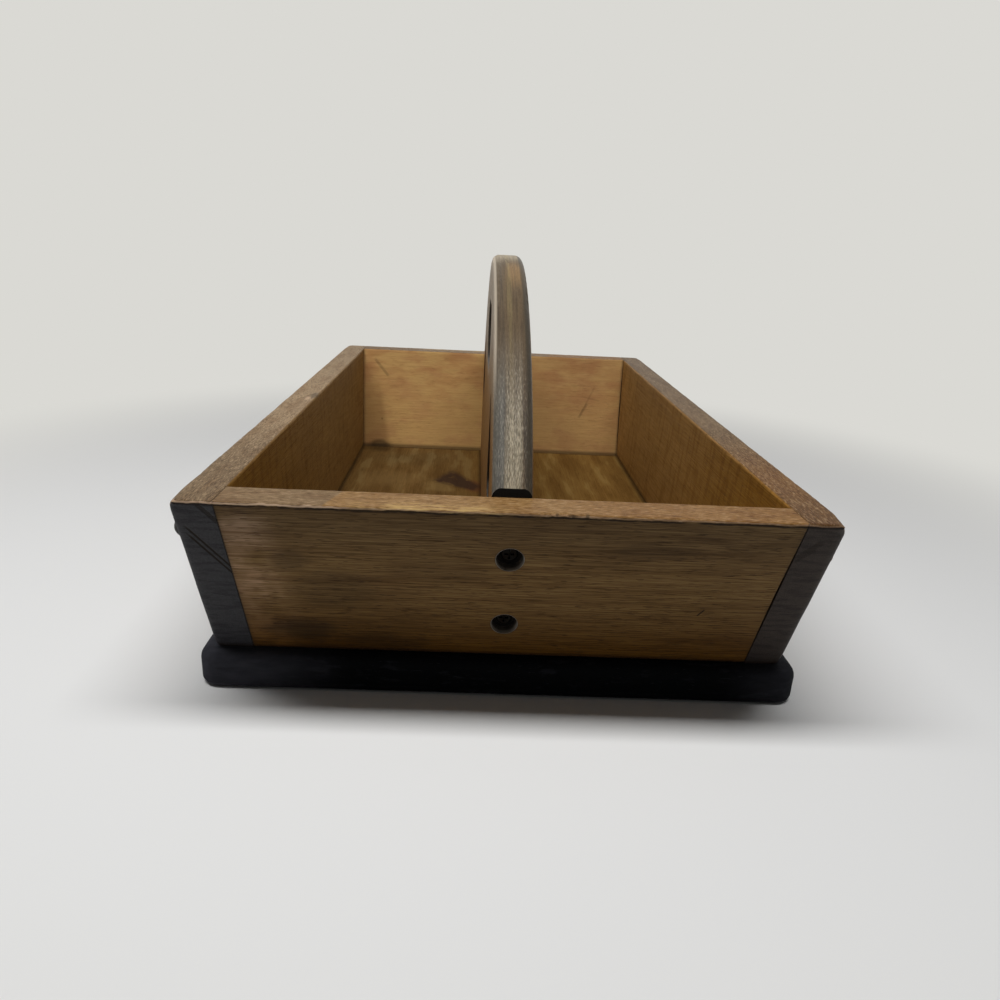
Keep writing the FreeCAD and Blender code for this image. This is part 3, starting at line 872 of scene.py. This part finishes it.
class TOTE_OT_side_boards(bpy.types.Operator):
    """Build the two side boards, with sloping ends and worn edges"""
    bl_idname = "tote.side_boards"
    bl_label = "Side Boards"

    def execute(self, context):
        shape = context.scene.tote_shape
        finish = context.scene.tote_finish
        tray = Tray(shape)
        size = (tray.side_run, shape.rim_length, tray.height)
        for side, word in ((-1, "left"), (1, "right")):
            rim = worn(shape.rim_ease, shape.edge_wear, 10 * side)
            crest = worn(shape.crest_ease, shape.edge_wear * 0.5, 10 * side + 2)
            # The corners of the tray are knocked rounder than the rest of its outer edge.
            reach = shape.rim_length / 2
            corners = [(-reach, 0.016, 0.0045 if side > 0 else 0.0015), (reach, 0.014, 0.0015)]
            front_round = shape.corner_round + (0.002 if side > 0 else 0.0)
            upright = worn(shape.corner_round, shape.edge_wear, 17 + side)
            front_upright = worn(front_round, shape.edge_wear, 19 + side)
            seam = worn(shape.seam_ease, 0.0, 5)
            edges = [
                ((0, 2), (1, -1), worn(shape.heel_round, 0.0, 3)),
                ((0, 1), (1, 1), upright),
                ((0, 1), (1, -1), front_upright),
                ((0, 2), (1, 1), worn(shape.corner_round, shape.edge_wear, 41 + side, corners)),
                ((0, 2), (-1, 1), rim),
                ((1, 2), (-1, 1), crest),
                ((1, 2), (1, 1), crest),
                ((0, 1), (-1, 1), seam),
                ((0, 1), (-1, -1), seam)]
            board = dressed_board(f"{word}_side_board_dressed", f"{word}_side_board", size,
                                  SIDE_GRID, edges, tray.place_side(side))
            smooth(board)
            dress(board, side_board_finish(finish, tray, side))
        return {"FINISHED"}


class TOTE_OT_end_boards(bpy.types.Operator):
    """Build the two end boards, with knocked rims and open counterbores"""
    bl_idname = "tote.end_boards"
    bl_label = "End Boards"

    def execute(self, context):
        shape = context.scene.tote_shape
        finish = context.scene.tote_finish
        tray = Tray(shape)
        size = (2 * tray.side_inner(RIM_Z), tray.end_run, tray.height)
        for end, word in ((-1, "front"), (1, "rear")):
            # Small bites out of the rim's outer edge: place along it, reach and depth.
            knocks = [(0.012, 0.0012, 0.0012), (0.0165, 0.0016, 0.0018), (0.0215, 0.0018, 0.0016),
                      (-0.055, 0.004, 0.0006), (0.071, 0.003, 0.0008)]
            edges = [
                ((1, 2), (1, 1), worn(shape.crest_ease, shape.edge_wear, 21 + end, knocks)),
                ((1, 2), (-1, 1), worn(shape.rim_ease * 0.7, shape.edge_wear * 0.4, 31 + end)),
                ((1, 2), (1, -1), worn(shape.toe_ease, 0.0, 3)),
                ((0, 1), (1, 1), worn(shape.seam_ease, 0.0, 5)),
                ((0, 1), (-1, 1), worn(shape.seam_ease, 0.0, 6))]
            board = dressed_board(f"{word}_end_board_dressed", f"{word}_end_board", size,
                                  END_GRID, edges, tray.place_end(end, shape.seam_gap))
            holes, heights = [], []
            for place in ("lower", "upper"):
                low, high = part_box(f"handle_screw_{word}_{place}")
                height = (low.z + high.z) / 2
                seat = tray.end_outer(height) - shape.counterbore_depth
                holes.append((Vector((0, end * seat, height)), Vector((0, end, 0)),
                              shape.counterbore, 3 * shape.counterbore_depth))
                heights.append(height / MM)
            drill(board, holes)
            smooth(board)
            dress(board, end_board_finish(finish, tray, end, heights))
        return {"FINISHED"}


class TOTE_OT_handle(bpy.types.Operator):
    """Finish the arched handle board"""
    bl_idname = "tote.handle"
    bl_label = "Handle"

    def execute(self, context):
        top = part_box("handle_board")[1]
        tray = Tray(context.scene.tote_shape)
        span = tray.end_outer(RIM_Z) - tray.end_run
        rise = top.z - RIM_Z - context.scene.tote_shape.arch_shoulder
        radius = (span ** 2 + rise ** 2) / (2 * rise)
        dress_node("handle_board", handle_finish(context.scene.tote_finish, radius / MM,
                                                 (top.z - radius) / MM))
        return {"FINISHED"}


class TOTE_OT_base(bpy.types.Operator):
    """Finish the base board: black outside, oiled brown inside the tray"""
    bl_idname = "tote.base"
    bl_label = "Base"

    def execute(self, context):
        dress_node("base_board", base_finish(context.scene.tote_finish))
        return {"FINISHED"}


class TOTE_OT_hardware(bpy.types.Operator):
    """Finish the wooden plugs and the screws"""
    bl_idname = "tote.hardware"
    bl_label = "Plugs and Screws"

    def execute(self, context):
        finish = context.scene.tote_finish
        domed = domed_plug_finish(finish)
        flush = flush_plug_finish(finish)
        steel = screw_finish(finish)
        for name in sorted(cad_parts):
            if "plug" in name:
                dress_node(name, domed if name.endswith("left") else flush)
            elif "screw" in name:
                dress_node(name, steel)
        return {"FINISHED"}


class TOTE_OT_stage(bpy.types.Operator):
    """Lay the pale floor and set the lights and the camera"""
    bl_idname = "tote.stage"
    bl_label = "Stage"

    def execute(self, context):
        stage = context.scene.tote_stage
        make_floor(stage)
        make_world(context.scene, stage)
        # The key hangs straight over the left end of the front rim.
        make_light("key_light", (-0.16, -0.235, 1.1), (1.3, 0.2), stage.key_power,
                   aim=(-0.16, -0.235, 0.0))
        make_light("front_light", (-0.25, -1.3, 0.75), (0.9, 0.6), stage.front_power)
        make_light("left_light", (-1.1, -0.1, 0.55), (0.8, 0.8), stage.side_power)
        make_light("right_light", (1.1, -0.1, 0.55), (0.8, 0.8), stage.side_power * 0.7)
        make_light("rear_light", (0.2, 1.3, 0.35), (0.9, 0.5), stage.rear_power)
        make_camera(context.scene)
        context.scene.view_settings.view_transform = "Standard"
        return {"FINISHED"}


# Stage

FLOOR_SIZE = 12.0
FADE_START, FADE_END = 0.3, 0.65        # the cloth turns into the backdrop between these distances
CAMERA_PLACE = (-0.01916, -0.52074, 0.21549)
CAMERA_PITCH, CAMERA_YAW, CAMERA_ROLL = (math.radians(angle) for angle in (19.512, 1.725, 2.797))
LENS_MM, SENSOR_MM, LENS_SHIFT = 27.04, 36.0, 0.01


def background_rays(tree):
    """1 for rays that see the backdrop: straight, mirrored or through glass."""
    path = add(tree, "LightPath")
    seen = path.outputs["Is Camera Ray"]
    for ray in ("Is Glossy Ray", "Is Transmission Ray"):
        seen = add(tree, "Math", {0: seen, 1: path.outputs[ray]},
                   operation="MAXIMUM").outputs[0]
    return seen


def make_floor(stage):
    """Pale cloth, fading into the backdrop colour away from the tote."""
    bpy.ops.mesh.primitive_plane_add(size=FLOOR_SIZE)
    floor = bpy.context.object
    floor.name = "floor"
    material = bpy.data.materials.new("Pale matt cloth")
    material.use_nodes = True
    tree = material.node_tree
    tree.nodes.clear()
    place = add(tree, "TexCoord").outputs["Object"]
    reach = add(tree, "VectorMath", {0: place}, operation="LENGTH").outputs["Value"]
    far = add(tree, "MapRange", {"Value": reach, "From Min": FADE_START, "From Max": FADE_END},
              interpolation_type="SMOOTHSTEP").outputs["Result"]
    far = add(tree, "Math", {0: far, 1: background_rays(tree)},
              operation="MULTIPLY").outputs[0]
    cloth = add(tree, "BsdfDiffuse", {"Color": stage.ground})
    glow = add(tree, "Emission", {"Color": stage.backdrop})
    mixed = add(tree, "MixShader",
                {0: far, 1: cloth.outputs["BSDF"], 2: glow.outputs["Emission"]})
    add(tree, "OutputMaterial", {"Surface": mixed.outputs["Shader"]})
    floor.data.materials.append(material)


def make_world(scene, stage):
    world = bpy.data.worlds.new("Even light")
    scene.world = world
    world.use_nodes = True
    tree = world.node_tree
    tree.nodes.clear()
    even = add(tree, "Background",
               {"Color": (1.0, 1.0, 1.0, 1.0), "Strength": stage.ambient})
    seen = add(tree, "Background", {"Color": stage.backdrop, "Strength": 1.0})
    mixed = add(tree, "MixShader",
                {0: background_rays(tree), 1: even.outputs["Background"],
                 2: seen.outputs["Background"]})
    add(tree, "OutputWorld", {"Surface": mixed.outputs["Shader"]})


def make_light(name, place, size, power, aim=(0.0, 0.0, 0.08)):
    """Soft light with its long side level, pointed at the middle of the tote or at another aim."""
    data = bpy.data.lights.new(name, "AREA")
    data.shape = "RECTANGLE"
    data.size, data.size_y = size
    data.energy = power
    forward = (Vector(aim) - Vector(place)).normalized()
    right = forward.cross(Vector((0, 1, 0) if abs(forward.z) > 0.9 else (0, 0, 1))).normalized()
    lamp = bpy.data.objects.new(name, data)
    turn = Matrix((right, right.cross(forward), -forward)).transposed().to_4x4()
    lamp.matrix_world = Matrix.Translation(place) @ turn
    bpy.context.scene.collection.objects.link(lamp)


def make_camera(scene):
    """Wide lens close in front of the tote, a little above its rim and slightly rolled."""
    data = bpy.data.cameras.new("camera")
    data.sensor_width = SENSOR_MM
    data.lens = LENS_MM
    data.shift_x = LENS_SHIFT
    data.clip_start = 0.01
    camera = bpy.data.objects.new("camera", data)
    level = math.cos(CAMERA_PITCH)
    forward = Vector((math.sin(CAMERA_YAW) * level, math.cos(CAMERA_YAW) * level,
                      -math.sin(CAMERA_PITCH)))
    right = Vector((math.cos(CAMERA_YAW), -math.sin(CAMERA_YAW), 0.0))
    down = forward.cross(right)
    rolled_right = math.cos(CAMERA_ROLL) * right - math.sin(CAMERA_ROLL) * down
    rolled_down = math.sin(CAMERA_ROLL) * right + math.cos(CAMERA_ROLL) * down
    turn = Matrix((rolled_right, -rolled_down, -forward)).transposed().to_4x4()
    camera.matrix_world = Matrix.Translation(CAMERA_PLACE) @ turn
    scene.collection.objects.link(camera)
    scene.camera = camera


class TOTE_PT_sidebar(bpy.types.Panel):
    bl_idname = "TOTE_PT_sidebar"
    bl_label = "Wooden Tote"
    bl_space_type = "VIEW_3D"
    bl_region_type = "UI"
    bl_category = "Tote"

    def draw(self, context):
        for step in STEPS:
            self.layout.operator(step.bl_idname)
        for group in ("tote_shape", "tote_finish", "tote_stage"):
            settings = getattr(context.scene, group)
            box = self.layout.box()
            for key in type(settings).__annotations__:
                box.prop(settings, key)


GROUPS = {"tote_shape": ToteShape, "tote_finish": ToteFinish, "tote_stage": ToteStage}
STEPS = (TOTE_OT_side_boards, TOTE_OT_end_boards, TOTE_OT_handle, TOTE_OT_base,
         TOTE_OT_hardware, TOTE_OT_stage)


def register():
    for cls in (*GROUPS.values(), *STEPS, TOTE_PT_sidebar):
        bpy.utils.register_class(cls)
    for name, group in GROUPS.items():
        setattr(bpy.types.Scene, name, bpy.props.PointerProperty(type=group))


def unregister():
    for name in GROUPS:
        delattr(bpy.types.Scene, name)
    for cls in reversed((*GROUPS.values(), *STEPS, TOTE_PT_sidebar)):
        bpy.utils.unregister_class(cls)


def main():
    register()
    bpy.ops.tote.side_boards()
    bpy.ops.tote.end_boards()
    bpy.ops.tote.handle()
    bpy.ops.tote.base()
    bpy.ops.tote.hardware()
    bpy.ops.tote.stage()


if __name__ == "__main__":
    main()
